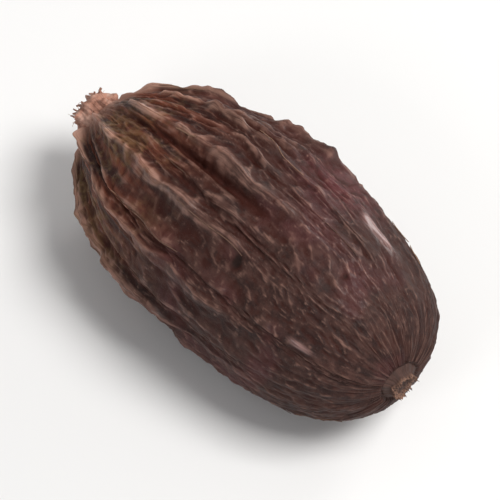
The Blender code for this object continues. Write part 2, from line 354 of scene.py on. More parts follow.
def make_ribs():
    """Each rib's place round the husk, its strength and the starts of its waves, drawn as for the solid."""
    draw = random.Random(RIB_SEED)
    ribs = []
    for index in range(RIB_COUNT):
        ribs.append({
            "place": (index + draw.uniform(-RIB_SPREAD, RIB_SPREAD)) * TURN / RIB_COUNT,
            "strength": draw.uniform(*RIB_STRENGTHS),
            "late": index % 2 == 1,
            "lean": draw.uniform(*LEAN_SHARES) * RIB_LEAN,
            "height_starts": [draw.uniform(0, TURN) for _ in HEIGHT_WAVES],
            "sway_starts": [draw.uniform(0, TURN) for _ in SWAY_WAVES],
        })
    return ribs


def rib_height(rib, along):
    waves = zip(HEIGHT_WAVES, rib["height_starts"])
    uneven = 1 + sum(size * np.sin(TURN * rate * along + start) for (rate, size), start in waves)
    if rib["late"]:
        from_apex = LATE_RIB_SHARE * blend(*LATE_RIB_FROM_TO, along)
    else:
        from_apex = SHARE_AT_MOUTH + (1 - SHARE_AT_MOUTH) * blend(*RISE_FROM_TO, along)
    fade = 1 - RIB_FADE * blend(*FADE_FROM_TO, along)
    to_stalk = fade * (1 - END_FADE * blend(*END_FADE_FROM_TO, along))
    return RIB_HEIGHT * rib["strength"] * uneven * from_apex * to_stalk


def rib_sway(rib, along):
    fades = (1.0, 1.0, 1 - SWAY_FADE * blend(*SWAY_FADE_FROM_TO, along))
    waves = zip(SWAY_WAVES, rib["sway_starts"], fades)
    swing = sum(size * fade * np.sin(TURN * rate * along + start) for (rate, size), start, fade in waves)
    return rib["lean"] + RIB_SWAY * swing


def core_outline(turn):
    """The core's profile at turns from 0 at the apex to pi at the stalk: x, radius and the normal's parts."""
    to_apex = np.cos(turn) > 0
    reach = np.where(to_apex, APEX_REACH, STALK_REACH)
    fullness = np.where(to_apex, APEX_FULLNESS, STALK_FULLNESS)
    side = np.where(to_apex, -1, 1)
    away = np.abs(np.cos(turn)) ** (2 / fullness)
    out = np.sin(turn) ** (2 / fullness)
    endwise = side * away ** (fullness - 1) / reach
    sideways = out ** (fullness - 1) / CORE_RADIUS
    length = np.hypot(endwise, sideways)
    return side * reach * away, CORE_RADIUS * out, endwise / length, sideways / length


def turn_at_radius(mouth, fullness):
    return math.asin((mouth / CORE_RADIUS) ** (fullness / 2))


def ring_turns(stations):
    """The turns at which the husk's rings stand, from the apex's mouth to the stalk's."""
    first = turn_at_radius(APEX_MOUTH, APEX_FULLNESS)
    last = math.pi - turn_at_radius(STALK_MOUTH, STALK_FULLNESS)
    return np.linspace(first, last, stations)[:, None]


def core_section(angle, oval_share):
    """How far the core stands out at an angle round it, as a share of its radius."""
    oval = 1 / np.hypot(np.cos(angle), np.sin(angle) / CORE_FLATNESS)
    cells = 1 + THREE_CELL_SWELL * np.cos(3 * angle + THREE_CELL_START)
    dents = 1 + TWO_DENT * np.sin(2 * angle + TWO_DENT_START)
    dents = dents + FIVE_DENT * np.sin(5 * angle + FIVE_DENT_START)
    return 1 + (oval * cells * dents - 1) * oval_share


def axis_at(along):
    """The y and z of the middle of the husk's section: the apex is bent to -Y and droops a little."""
    bent = (1 - along) ** 2
    return -APEX_BEND * bent, -APEX_DROOP * bent


def husk_surface(ribs, stations, shares, folds=0.0, notches=1.0):
    """The husk's points, ring by ring and column by column, with the height of its skin over the core.
    The folds and notches of the skin are given ring by ring and column by column too."""
    turn = ring_turns(stations)
    x, radius, endwise, sideways = core_outline(turn)
    along = (x + APEX_REACH) / HUSK_LENGTH
    rounded = np.sqrt(shares**2 + CREST_ROUNDING**2) - CREST_ROUNDING
    rounded_back = np.sqrt((1 - shares) ** 2 + CREST_ROUNDING**2) - CREST_ROUNDING
    near, far = (1 - rounded) ** RIB_SHARPNESS, (1 - rounded_back) ** RIB_SHARPNESS
    runs_on = 1 - blend(*FURROW_FADE_FROM_TO, along)
    angles, rises, furrows = [], [], []
    for index, rib in enumerate(ribs):
        following = ribs[(index + 1) % RIB_COUNT]
        spacing = following["place"] - rib["place"] + (TURN if index + 1 == RIB_COUNT else 0)
        sway = near * rib_sway(rib, along) + far * rib_sway(following, along)
        angles.append(rib["place"] + spacing * shares + np.sin(turn) * sway)
        rises.append(near * rib_height(rib, along) + far * rib_height(following, along))
        dip = np.exp(-(((shares - 0.5) / FURROW_WIDTH) ** 2))
        furrows.append(FURROWS.get(index, 0.0) * dip * runs_on * np.sin(turn) ** 2)
    angle, rise, furrow = (np.hstack(parts) for parts in (angles, rises, furrows))
    from_down = (angle - DOWN + math.pi) % TURN - math.pi
    pressed = np.exp(-((x / PRESSED_LENGTH) ** 2) - (from_down / PRESSED_TURN) ** 2)
    rise = rise * notches * (1 - PRESSED_SHARE * pressed) + (folds - furrow) * (1 - pressed)
    out = radius * core_section(angle, blend(*OVAL_FROM_TO, np.sin(turn))) + rise * sideways
    middle_y, middle_z = axis_at(along)
    points = np.stack([
        x + rise * endwise,
        out * np.cos(angle) + middle_y,
        np.maximum(out * np.sin(angle) + middle_z, FLAT_Z),
    ], axis=2)
    return points, rise


def skin_noise(grain, across, lengthwise, seed):
    """Smooth random hills over the skin, from about -1 to 1, this long across the grain and along it."""
    places = grain.reshape(-1, 3) / (across, across, lengthwise) + seed
    return np.array([noise.noise(Vector(place)) for place in places]).reshape(grain.shape[:2])


def blurred(field, reach):
    """A field smoothed over this many rings and columns each way."""
    shifts = np.arange(-2 * reach, 2 * reach + 1)
    weights = np.exp(-((shifts / reach) ** 2))
    weights /= weights.sum()
    rings = np.arange(len(field))
    smooth = np.zeros_like(field)
    for shift, weight in zip(shifts, weights):
        smooth += weight * np.roll(field, shift, axis=1)
    twice = np.zeros_like(field)
    for shift, weight in zip(shifts, weights):
        twice += weight * smooth[np.clip(rings + shift, 0, len(field) - 1)]
    return twice


def rolled_grain(radius, angles, lengths):
    """Where the grain lies on a plain tube of this radius: it runs along the third axis."""
    around = (radius * np.cos(angles)[None], radius * np.sin(angles)[None])
    return np.stack(np.broadcast_arrays(*around, lengths), axis=2)


def mould(name, points, fields):
    """A closed piece rolled up from a grid: each of its rows takes a ring of points, its two edges meet, and
    its first and last rows close on the middle of their rings. The fields are kept on the mesh by name."""
    rings, segments = points.shape[:2]
    bpy.ops.mesh.primitive_grid_add(x_subdivisions=segments, y_subdivisions=rings + 1, size=1)
    piece = bpy.context.object
    piece.name = name
    mesh = piece.data
    mesh.name = name
    flat = np.empty(len(mesh.vertices) * 3)
    mesh.vertices.foreach_get("co", flat)
    segment = np.rint((flat[0::3] + 0.5) * segments).astype(int) % segments
    row = np.rint((flat[1::3] + 0.5) * (rings + 1)).astype(int)

    def closed(values):
        ends = [np.broadcast_to(values[end].mean(axis=0), values[:1].shape) for end in (0, -1)]
        return np.concatenate([ends[0], values, ends[1]])[row, segment]

    mesh.vertices.foreach_set("co", closed(points).ravel())
    for field, values in fields.items():
        kind, key = ("FLOAT_VECTOR", "vector") if values.ndim == 3 else ("FLOAT", "value")
        mesh.attributes.new(field, kind, "POINT").data.foreach_set(key, closed(values).ravel())
    mesh.update()
    bpy.ops.object.mode_set(mode="EDIT")
    bpy.ops.mesh.select_all(action="SELECT")
    bpy.ops.mesh.remove_doubles(threshold=1e-7)
    bpy.ops.mesh.normals_make_consistent(inside=False)
    bpy.ops.object.mode_set(mode="OBJECT")
    bpy.ops.object.shade_smooth()
    piece.select_set(False)
    return piece


ribs = make_ribs()
solid_points, _ = husk_surface(ribs, SOLID_STATIONS, np.array(SOLID_COLUMNS))
to_frame = np.array(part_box("husk")[0]) - solid_points.reshape(-1, 3).min(axis=0)

column = np.arange(RIB_COUNT * COLUMNS_A_RIB) / COLUMNS_A_RIB
along = (core_outline(ring_turns(STATIONS))[0] + APEX_REACH) / HUSK_LENGTH
husk_grain = rolled_grain(CORE_RADIUS, TURN * column / RIB_COUNT, HUSK_LENGTH * along)
stalkwards = blend(*STALKWARDS_FROM_TO, along)
on_flank = blend(*FLANK_FROM_TO, np.abs((column + 0.5) % 1 - 0.5)[None])
warps = [skin_noise(husk_grain, *WARP_SIZE, seed) for seed in WARP_SEEDS]
warped_grain = husk_grain + WARP_REACH * np.stack(warps, axis=2)


def ribs_away(place):
    """How far each column is from a place round the husk, the shorter way round and counted in ribs."""
    return (column[None] - place + RIB_COUNT / 2) % RIB_COUNT - RIB_COUNT / 2


def net_of(hills):
    """A net of raised lines, which run where the hills pass through zero."""
    return 0.5 - np.minimum(1, NET_SHARPNESS * np.abs(skin_noise(warped_grain, *hills)))


fold_draw = random.Random(FOLD_SEED)
long_folds = np.zeros((STATIONS, len(column)))
for _ in range(FOLD_COUNT):
    start = fold_draw.uniform(*FOLD_STARTS)
    end = start + fold_draw.uniform(*FOLD_LENGTHS)
    way = np.clip((along - start) / (end - start), 0, 1)
    middle = fold_draw.uniform(0, RIB_COUNT) + fold_draw.uniform(*FOLD_DRIFTS) * way
    swing = TURN * (fold_draw.uniform(*FOLD_WAVES) * along + fold_draw.random())
    away = ribs_away(middle + FOLD_WANDER * np.sin(swing))
    window = blend(start, start + FOLD_RUN_IN, along) * (1 - blend(end - FOLD_RUN_OUT, end, along))
    height = fold_draw.uniform(*FOLD_HEIGHTS) * (1 if fold_draw.random() < RAISED_SHARE else SUNK_HEIGHT)
    long_folds += height * window * np.exp(-((away / fold_draw.uniform(*FOLD_WIDTHS)) ** 2))

crinkled = blend(-0.15, 0.35, skin_noise(husk_grain, *CRINKLED_PATCHES))
crinkles = skin_noise(warped_grain, *CRINKLE_HILLS) * (0.3 + 0.7 * crinkled) * on_flank
crinkles = crinkles * (1 - CRINKLE_FADE * stalkwards)
net_field = net_of(NET_HILLS) * (1 - 0.5 * stalkwards) + net_of(FINE_NET_HILLS) * (0.35 + 0.35 * stalkwards)
leather = skin_noise(husk_grain, *LEATHER_HILLS) * LEATHER_HEIGHT
pores = skin_noise(husk_grain, *PORE_HILLS) * PORE_HEIGHT
dents = skin_noise(husk_grain, *DENT_HILLS) * DENT_HEIGHT
notch_hills = skin_noise(husk_grain, *NOTCH_HILLS) + 0.5 * skin_noise(husk_grain, *FINE_NOTCH_HILLS)
notches = (1 + CREST_NOTCH * notch_hills) * (1 - NOTCH_FADE * stalkwards)
notches = notches * (MOUTH_CREST + (1 - MOUTH_CREST) * blend(*MOUTH_FROM_TO, along))
knobs = KNOB_HEIGHT * np.exp(-(((along - KNOB_AT) / KNOB_LENGTH) ** 2)) * (0.8 + 0.9 * notch_hills)
knobs = knobs * blend(KNOB_WIDTH, 0.0, np.abs((column + 1) % 2 - 1))[None]
at_ends = blend(0.0, 0.03, along) * (1 - 0.6 * blend(0.9, 1.0, along))
skin_folds = (long_folds * (1 - FOLD_FADE * stalkwards) + dents) * at_ends + leather + pores + knobs
skin_folds = skin_folds + CRINKLE_HEIGHT * crinkles + NET_HEIGHT * net_field * blend(-0.01, 0.03, along)

pit_draw = random.Random(PIT_SEED)
pit_places = [MAIN_PIT] + [
    (pit_draw.uniform(0, RIB_COUNT), pit_draw.uniform(*PIT_FROM_TO), pit_draw.uniform(*PIT_RADII))
    for _ in range(PIT_COUNT)
]
pits = np.zeros_like(skin_folds)
for beside, down, radius in pit_places:
    girth = TURN * CORE_RADIUS * np.sin(np.pi * down) ** 0.5
    away = np.hypot(ribs_away(beside) * girth / RIB_COUNT, (along - down) * HUSK_LENGTH) / radius
    pits = np.maximum(pits, np.exp(-(away**2)) * radius / MAIN_PIT[2])
gleam = np.zeros_like(skin_folds)
for beside, start, end, share, width in GLEAMS:
    window = blend(start - 0.02, start + 0.03, along) * (1 - blend(end - 0.05, end + 0.02, along))
    gleam += share * np.exp(-((ribs_away(beside) / width) ** 2)) * window
skin_folds = skin_folds * (1 - GLEAM_SMOOTHING * gleam) + GLEAM_HEIGHT * gleam - PIT_DEPTH * pits

husk_points, husk_rise = husk_surface(
    ribs, STATIONS, np.arange(COLUMNS_A_RIB) / COLUMNS_A_RIB, skin_folds, notches
)


def hollow(rim, end_x, inwards, mouth, middle):
    """The hollow at one end, as rings from its drawn-in lip to its floor."""
    turned = np.arctan2(rim[:, 2] - middle[1], rim[:, 1] - middle[0])
    rings = []
    for step, width in HOLLOW_RINGS:
        radius = mouth * width
        level = np.full(len(rim), end_x + inwards * (HOLLOW_LIP + HOLLOW_DEPTH * step))
        rings.append(np.stack([
            level, middle[0] + radius * np.cos(turned), middle[1] + radius * np.sin(turned)
        ], axis=1))
    return np.stack(rings)


apex_hollow = hollow(husk_points[0], -APEX_REACH, 1, APEX_MOUTH, axis_at(0.0))[::-1]
stalk_hollow = hollow(husk_points[-1], STALK_REACH, -1, STALK_MOUTH, axis_at(1.0))
whole_husk = np.concatenate([apex_hollow, husk_points, stalk_hollow]) + to_frame


def with_hollows(field):
    """A field of the skin, carried on unchanged into the two hollows."""
    first, last = (np.repeat(end, len(HOLLOW_RINGS), axis=0) for end in (field[:1], field[-1:]))
    return np.concatenate([first, field, last])


def standing_out(reach, height):
    """How far the skin stands over what is round it, from -1 to 1 where that is this height or more."""
    return np.clip((husk_rise - blurred(husk_rise, reach)) / height, -1, 1)


husk = mould("husk_skin", whole_husk, {
    "crest": with_hollows(standing_out(CREST_REACH, CREST_HEIGHT)),
    "fold": with_hollows(standing_out(FOLD_REACH, FOLD_HEIGHT)),
    "along": with_hollows(np.broadcast_to(along, husk_rise.shape)),
    "net": with_hollows(np.clip(net_field, -NET_LIMIT, NET_LIMIT) / NET_LIMIT),
    "pit": with_hollows(pits),
    "gleam": with_hollows(gleam),
    "grain": with_hollows(husk_grain),
})

HUSK_DARK = srgb(43, 25, 22)
HUSK_BROWN = srgb(73, 48, 42)
HUSK_MAROON = srgb(90, 42, 45)
HUSK_RUST = srgb(118, 60, 40)
HUSK_OLIVE = srgb(110, 86, 54)
HUSK_MAUVE = srgb(82, 54, 52)
HUSK_CREST = srgb(162, 122, 108)
HUSK_APEX_CREST = srgb(190, 146, 126)
HUSK_TIP = srgb(180, 140, 124)
HUSK_FURROW_SHADE = srgb(54, 18, 9)
HUSK_BLOOM = srgb(112, 90, 84)
HUSK_PAINTED_HIGHLIGHT = srgb(158, 122, 118)
HUSK_PIT_SHADE = srgb(26, 13, 9)
BLUSH_CENTRE = Vector((0.0036, 0.0056, 0.0128))
BLUSH_REACH = 0.0058
SKIN_SPECULAR = 0.20
SKIN_COAT_ROUGHNESS = 0.20
SKIN_TOOTH = 0.00010

dried_skin = Finish("dried_husk_skin")
skin_place = dried_skin.node("TexCoord", {}, {}, "Object")
skin_grain = dried_skin.attribute("grain", "Vector")
crest = dried_skin.attribute("crest")
fold = dried_skin.attribute("fold")
skin_net = dried_skin.attribute("net")
down_husk = dried_skin.attribute("along")
fibre = dried_skin.noise(skin_grain, 0.00016, 0.0022, 3.0, 0.6)
streak = dried_skin.noise(skin_grain, 0.0010, 0.0070, 3.0)
mottle = dried_skin.noise(skin_place, 0.0009, 0.0009, 6.0, 0.66)
patch = dried_skin.noise(skin_place, 0.0055, 0.0055, 2.0)
grit = dried_skin.noise(skin_place, 0.00013, 0.00013, 2.0, 0.6)
blush_ends = {0: skin_place, 1: BLUSH_CENTRE}
from_blush = dried_skin.node("VectorMath", {"operation": "DISTANCE"}, blush_ends, "Value")
blush = dried_skin.step(from_blush, BLUSH_REACH, 0.0, 0.85) * dried_skin.step(mottle, 0.30, 0.55)
skin_gleam = dried_skin.attribute("gleam")
skin_pit = dried_skin.attribute("pit")
near_apex = dried_skin.step(down_husk, 0.52, 0.10)
across_husk = dried_skin.node("SeparateXYZ", {}, {"Vector": skin_place}, "Y")
near_side = dried_skin.step(across_husk, 0.0030, -0.0060)
far_side = dried_skin.step(across_husk, 0.0015, 0.0065)
olive = dried_skin.step(mottle * 0.5 + patch * 0.5, 0.47, 0.60, 0.75) * (0.45 + 0.55 * near_side)
worn = dried_skin.step(crest, 0.05, 0.85) * (0.35 + 0.65 * dried_skin.step(fibre, 0.38, 0.6))
worn_colour = dried_skin.mix(near_apex, HUSK_CREST, HUSK_APEX_CREST)
# Painted highlight: a pale colour laid along the gleams' crests, where the lamps also glint on the coat.
painted_highlight = dried_skin.step(skin_gleam, 0.15, 0.90, 0.60) * (0.35 + 0.65 * dried_skin.step(fibre, 0.36, 0.58))
skin = dried_skin.layers(HUSK_DARK, (
    (dried_skin.step(mottle * 0.6 + streak * 0.4, 0.38, 0.62), HUSK_BROWN),
    (dried_skin.step(patch, 0.52, 0.68, 0.40), HUSK_MAROON),
    (dried_skin.step(streak, 0.40, 0.58, 0.85) * near_apex, HUSK_RUST),
    (olive * near_apex, HUSK_OLIVE),
    (far_side * near_apex * 0.75, HUSK_MAUVE),
    # Painted shade: the far (+Y) side is darkened towards the husk's dark brown.
    (dried_skin.step(across_husk, 0.0, 0.0035, 0.34), HUSK_DARK),
    (blush, HUSK_MAROON),
    # Pale worn crests are real wear; the smaller share of it on the far (+Y) side is painted shade.
    (worn * (0.26 + 0.58 * near_apex) * (1 - 0.60 * far_side), worn_colour),
    (dried_skin.step(fold, 0.1, 1.0, 0.26) * dried_skin.step(fibre, 0.4, 0.6), HUSK_CREST),
    (dried_skin.step(skin_net, 0.2, 0.9, 0.22), HUSK_CREST),
    # Painted shade: the furrows between the ribs, the sunk creases and the net's sunk lines are darkened.
    (dried_skin.step(crest, -0.05, -0.80, 0.80), HUSK_FURROW_SHADE),
    (dried_skin.step(fold, -0.1, -1.0, 0.50), HUSK_FURROW_SHADE),
    (dried_skin.step(skin_net, -0.3, -1.0, 0.35), HUSK_FURROW_SHADE),
    (dried_skin.step(grit, 0.60, 0.74, 0.25), HUSK_BLOOM),
    (dried_skin.step(down_husk, 0.075, 0.015, 0.70), HUSK_TIP),
    (painted_highlight, HUSK_PAINTED_HIGHLIGHT),
    # Painted shade: the pits are darkened to near black.
    (dried_skin.step(skin_pit, 0.15, 0.8, 0.85), HUSK_PIT_SHADE),
))
dried_skin.shade(
    Base_Color=skin,
    Roughness=0.48 + 0.26 * mottle - 0.06 * crest,
    Specular_IOR_Level=SKIN_SPECULAR,
    Coat_Weight=dried_skin.step(crest * 0.5 + patch, 0.50, 1.0, 0.24) + 0.08 * blush + 0.6 * skin_gleam,
    Coat_Roughness=SKIN_COAT_ROUGHNESS,
    Normal=dried_skin.bump(0.6 * fibre + 0.5 * grit + 0.6 * mottle, SKIN_TOOTH, 0.8),
)
dried_skin.wear(husk)
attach(husk, "root")
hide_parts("husk")

# Loose fibres: thin strips of the skin's outer fibre that dried away from the crests of the ribs. Each lies
# along a crest and lifts at its ends.
LOOSE_COUNT = 46
LOOSE_STATIONS = (12, 40)
LOOSE_HALF_WIDTHS = (0.00003, 0.00006)
LOOSE_HALF_THICKNESS = 0.000018
LOOSE_FIRST = 0.04
LOOSE_SPAN = 0.70
LOOSE_BESIDE = 2
LOOSE_DRIFT = 2.5
LOOSE_LIFT = 0.00024
LOOSE_AIR = 0.00001
LOOSE_CLEARANCE = 0.0002
LOOSE_SEED = 83
GRAIN_SHIFT = 0.01


def swept(path, widths, depths, sides, twist=0.0, start=0.0):
    """The rings of a strand along a path, and their grain. Its oval section turns by twist, and its widths
    and depths are counted from its middle."""
    path = [Vector(point) for point in path]
    across = (path[1] - path[0]).orthogonal()
    rings, grains = [], []
    gone = 0.0
    for step, point in enumerate(path):
        ahead = (path[min(step + 1, len(path) - 1)] - path[max(step - 1, 0)]).normalized()
        across = (across - ahead * across.dot(ahead)).normalized()
        other = ahead.cross(across)
        gone += (point - path[max(step - 1, 0)]).length
        width, depth = float(widths[step]), float(depths[step])
        turned = start + twist * step / (len(path) - 1)
        wide = math.cos(turned) * across + math.sin(turned) * other
        deep = math.cos(turned) * other - math.sin(turned) * across
        angles = [TURN * k / sides for k in range(sides)]
        rings.append([
            point + width * math.cos(angle) * wide + depth * math.sin(angle) * deep for angle in angles
        ])
        grains.append([(width * math.cos(angle), width * math.sin(angle), gone) for angle in angles])
    return np.array(rings), np.array(grains)


def mould_strand(name, path, widths, depths, sides, tone, **turns):
    """One strand as a piece of its own, with its share of the way along and a tone that shifts its grain."""
    rings, grain = swept(path, widths, depths, sides, **turns)
    share = np.linspace(0, 1, len(rings))[:, None]
    return mould(name, rings, {
        "grain": grain + GRAIN_SHIFT * tone,
        "along": np.broadcast_to(share, rings.shape[:2]),
        "tone": np.full(rings.shape[:2], float(tone)),
    })


def join_pieces(name, parts):
    """The parts as one object, in the order that they were made."""
    for part in parts:
        part.select_set(True)
    bpy.context.view_layer.objects.active = parts[0]
    bpy.ops.object.join()
    joined = bpy.context.object
    joined.name = name
    joined.data.name = name
    joined.select_set(False)
    return joined


ring_step = np.gradient(husk_points, axis=0)
column_step = np.roll(husk_points, -1, axis=1) - np.roll(husk_points, 1, axis=1)
husk_outwards = np.cross(column_step, ring_step)
husk_outwards /= np.linalg.norm(husk_outwards, axis=2, keepdims=True) + 1e-12
middles = husk_points.mean(axis=1, keepdims=True)
if ((husk_points - middles) * husk_outwards).sum() < 0:
    husk_outwards = -husk_outwards

loose_draw = random.Random(LOOSE_SEED)
loose_strips = []
for index in range(LOOSE_COUNT):
    count = loose_draw.randint(*LOOSE_STATIONS)
    first_station = int((LOOSE_FIRST + LOOSE_SPAN * loose_draw.random() ** 1.4) * STATIONS)
    crest_column = loose_draw.randrange(RIB_COUNT) * COLUMNS_A_RIB
    at = crest_column + loose_draw.randint(-LOOSE_BESIDE, LOOSE_BESIDE)
    drift = loose_draw.uniform(-LOOSE_DRIFT, LOOSE_DRIFT)
    lifts = (loose_draw.uniform(0, LOOSE_LIFT), loose_draw.uniform(0, LOOSE_LIFT))
    half_width = loose_draw.uniform(*LOOSE_HALF_WIDTHS)
    path, widths = [], []
    for step in range(count):
        share = step / (count - 1)
        station = min(first_station + step, STATIONS - 1)
        beside = round(at + drift * share) % len(column)
        lift = LOOSE_AIR + lifts[0] * (1 - share) ** 6 + lifts[1] * share**6
        point = Vector(husk_points[station, beside] + to_frame + lift * husk_outwards[station, beside])
        point.z = max(point.z, LOOSE_CLEARANCE)
        path.append(point)
        widths.append(half_width * (0.25 + 0.75 * math.sin(math.pi * (0.06 + 0.88 * share)) ** 0.5))
    eased = []
    for step in range(count):
        beside_it = path[max(step - 2, 0):step + 3]
        eased.append(sum(beside_it, Vector()) / len(beside_it))
    depths = [LOOSE_HALF_THICKNESS] * count
    tone = loose_draw.random()
    loose_strips.append(mould_strand(f"loose_{index}", eased, widths, depths, 6, tone))
loose_fibres = join_pieces("loose_skin_fibres", loose_strips)

LOOSE_PALE = srgb(142, 108, 86)
LOOSE_BROWN = srgb(80, 52, 40)

dry_fibre = Finish("dry_skin_fibre")
fibre_grain = dry_fibre.attribute("grain", "Vector")
fibre_tone = dry_fibre.attribute("tone")
fibre_streak = dry_fibre.noise(fibre_grain, 0.00005, 0.0008, 2.0)
fibre_pale = dry_fibre.step(fibre_streak * 0.5 + fibre_tone * 0.5, 0.3, 0.7)
dry_fibre.shade(
    Base_Color=dry_fibre.mix(fibre_pale, LOOSE_BROWN, LOOSE_PALE),
    Roughness=0.6,
    Normal=dry_fibre.bump(fibre_streak, 0.00002, 0.6),
)
dry_fibre.wear(loose_fibres)
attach(loose_fibres, "root")

# Withered flower: the shrunken tube of the flower, ribbed with veins and a pinkish tan. It breaks up into
# papery shreds, bundles of fibre that curl away from each other, and fine hairs, and stands in the hollow
# of the apex. Each of its solid's shreds and strands is a bundle of fibres here.
TUBE_RADIUS = 0.00165
TUBE_LENGTH = 0.0026
TUBE_PROFILE = (
    (0.0, 0.92), (0.16, 1.0), (0.34, 1.05), (0.52, 1.04), (0.70, 1.04), (0.86, 0.96), (1.0, 0.62),
)
TUBE_BEND = 0.0004
TUBE_LOBES = 9
TUBE_UNEVEN = 0.14
TUBE_RINGS = 64
TUBE_SEGMENTS = 108
TUBE_COLLAR = 0.00022
TUBE_COLLAR_AT = 0.235
TUBE_COLLAR_LENGTH = 0.11
RIDGE_REACH = 1.05
GROOVE_REACH = 0.90
COARSE_VEIN = 0.038
FINE_VEIN = 0.026
CRUMPLE_ROUND = 3
CRUMPLE_ALONG = 9
CRUMPLE_REACH = 0.10
SHREDS = {
    "count": 11, "length": (0.0009, 0.0016), "root": 0.00058, "tip": 0.00040,
    "splay": (14, 52), "curl": 55, "fibres": 5,
}
STRANDS = {
    "count": 4, "length": (0.0014, 0.0022), "root": 0.00042, "tip": 0.00032,
    "splay": (10, 40), "curl": 90, "fibres": 4,
}
SPRIG_OFFSET = 0.00035
SPRIG_STEPS = 30
FIBRE_WINDS = 2.2
FIBRE_PARTING = (0.6, 2.4)
FIBRE_LENGTHS = (0.74, 1.0)
FIBRE_WIDTHS = (0.34, 0.52)
FIBRE_FLATNESS = 0.62
PAPER_HALF_THICKNESS = 0.00006
FLOWER_SEED = 31
FRAY_SEED = 97
HAIR_COUNT = 40
HAIR_STEPS = 22
HAIR_ROOTS = (0.25, 0.95)
HAIR_SPLAY = (12, 62)
HAIR_TURNS = (2, 9)
HAIR_LENGTHS = (0.0005, 0.0014)
HAIR_RADII = (0.000020, 0.000038)


def at_tube(share):
    """The middle of the flower's tube, as a share of the way from its root."""
    bend = TUBE_BEND * share * share
    floor_x = -APEX_REACH + HOLLOW_LIP + HOLLOW_DEPTH
    middle_y, middle_z = axis_at(0.0)
    local = Vector((floor_x - JOIN_GAP - TUBE_LENGTH * share, middle_y - bend, middle_z + bend))
    return local + Vector(to_frame)


def sprig_path(kind, around, draw):
    """The middle line of one shred or strand, drawn as for the solid, with finer steps."""
    splay = math.radians(draw.uniform(*kind["splay"]))
    curl = math.radians(draw.uniform(0.35, 1.0) * kind["curl"]) * draw.choice((-1, 1, 1))
    step_length = draw.uniform(*kind["length"]) / (SPRIG_STEPS - 1)
    sideways = Vector((0, math.cos(around), math.sin(around)))
    curl_axis = Vector((draw.uniform(-0.7, 0.7), -math.sin(around), math.cos(around))).normalized()
    heading = Vector((-math.cos(splay), 0, 0)) + math.sin(splay) * sideways
    shares = [share for share, _ in TUBE_PROFILE]
    point = at_tube(shares[3]).lerp(at_tube(shares[-2]), draw.random()) + SPRIG_OFFSET * sideways
    path = [point]
    for step in range(1, SPRIG_STEPS):
        share = step / (SPRIG_STEPS - 1)
        heading = Quaternion(curl_axis, curl * share * 2 / SPRIG_STEPS) @ heading
        point = point + step_length * heading
        path.append(point)
    return path


def fray(name, path, kind, draw):
    """A bundle of fibres wound loosely round a path, which part from each other towards the tip."""
    ahead = (path[-1] - path[0]).normalized()
    across = ahead.orthogonal().normalized()
    other = ahead.cross(across)
    parts = []
    for index in range(kind["fibres"]):
        begins = TURN * (index + draw.uniform(-0.25, 0.25)) / kind["fibres"]
        winds = draw.uniform(-FIBRE_WINDS, FIBRE_WINDS)
        parts_by = draw.uniform(*FIBRE_PARTING)
        keeps = round(len(path) * draw.uniform(*FIBRE_LENGTHS))
        thick = draw.uniform(*FIBRE_WIDTHS)
        wobble = draw.uniform(0, TURN)
        line, widths = [], []
        for step in range(keeps):
            share = step / (len(path) - 1)
            body = kind["root"] + (kind["tip"] - kind["root"]) * share
            away = body * (0.55 + parts_by * share**2.4)
            turned = begins + winds * share + 0.35 * math.sin(7 * share + wobble)
            line.append(path[step] + away * (math.cos(turned) * across + math.sin(turned) * other))
            taper = 1 - 0.55 * blend(0.60, 1.0, step / (keeps - 1))
            widths.append(body * thick * taper * (1 + 0.14 * math.sin(19 * share + wobble)))
        depths = [width * FIBRE_FLATNESS for width in widths]
        tone, twist = draw.random(), draw.uniform(-5, 5)
        strand = f"{name}_{index}"
        parts.append(mould_strand(strand, line, widths, depths, 8, tone, twist=twist, start=begins))
    return parts


def round_sides(values, angles):
    """Values that are given at even steps round a tube, with a smooth change from each one to the next."""
    sides = values.shape[-1]
    side_at = angles / TURN * sides
    between = blend(0, 1, side_at % 1)
    lower_side = side_at.astype(int) % sides
    return values[..., lower_side] * (1 - between) + values[..., (lower_side + 1) % sides] * between


def ridged(count, angles):
    """The reach of a tube with this many ridges, as a share of its radius."""
    swing = (RIDGE_REACH - GROOVE_REACH) / 2 * np.cos(count * angles)
    return (RIDGE_REACH + GROOVE_REACH) / 2 + swing


tube_share = np.linspace(0, 1, TUBE_RINGS)
profile_shares, profile_widths = (np.array(part) for part in zip(*TUBE_PROFILE))
tube_width = np.interp(tube_share, profile_shares, profile_widths)
tube_draw = random.Random(FLOWER_SEED)
uneven = np.array([
    [tube_draw.uniform(1 - TUBE_UNEVEN, 1 + TUBE_UNEVEN) for _ in range(TUBE_LOBES * 2)] for _ in TUBE_PROFILE
])
uneven[:2] = 1.0
tube_angle = np.arange(TUBE_SEGMENTS) * TURN / TUBE_SEGMENTS
uneven_round = round_sides(uneven, tube_angle)
profile_at = np.interp(tube_share, profile_shares, np.arange(len(profile_shares)))
lower = np.minimum(profile_at.astype(int), len(profile_shares) - 2)
part_way = (profile_at - lower)[:, None]
tube_uneven = uneven_round[lower] * (1 - part_way) + uneven_round[lower + 1] * part_way
veins = 1 + COARSE_VEIN * np.cos(3 * TUBE_LOBES * tube_angle + 1.1)
veins = veins + FINE_VEIN * np.cos(5 * TUBE_LOBES * tube_angle)


def crumpled(angle, share):
    around = (CRUMPLE_ROUND * math.cos(angle), CRUMPLE_ROUND * math.sin(angle))
    return noise.noise(Vector((*around, CRUMPLE_ALONG * share)))


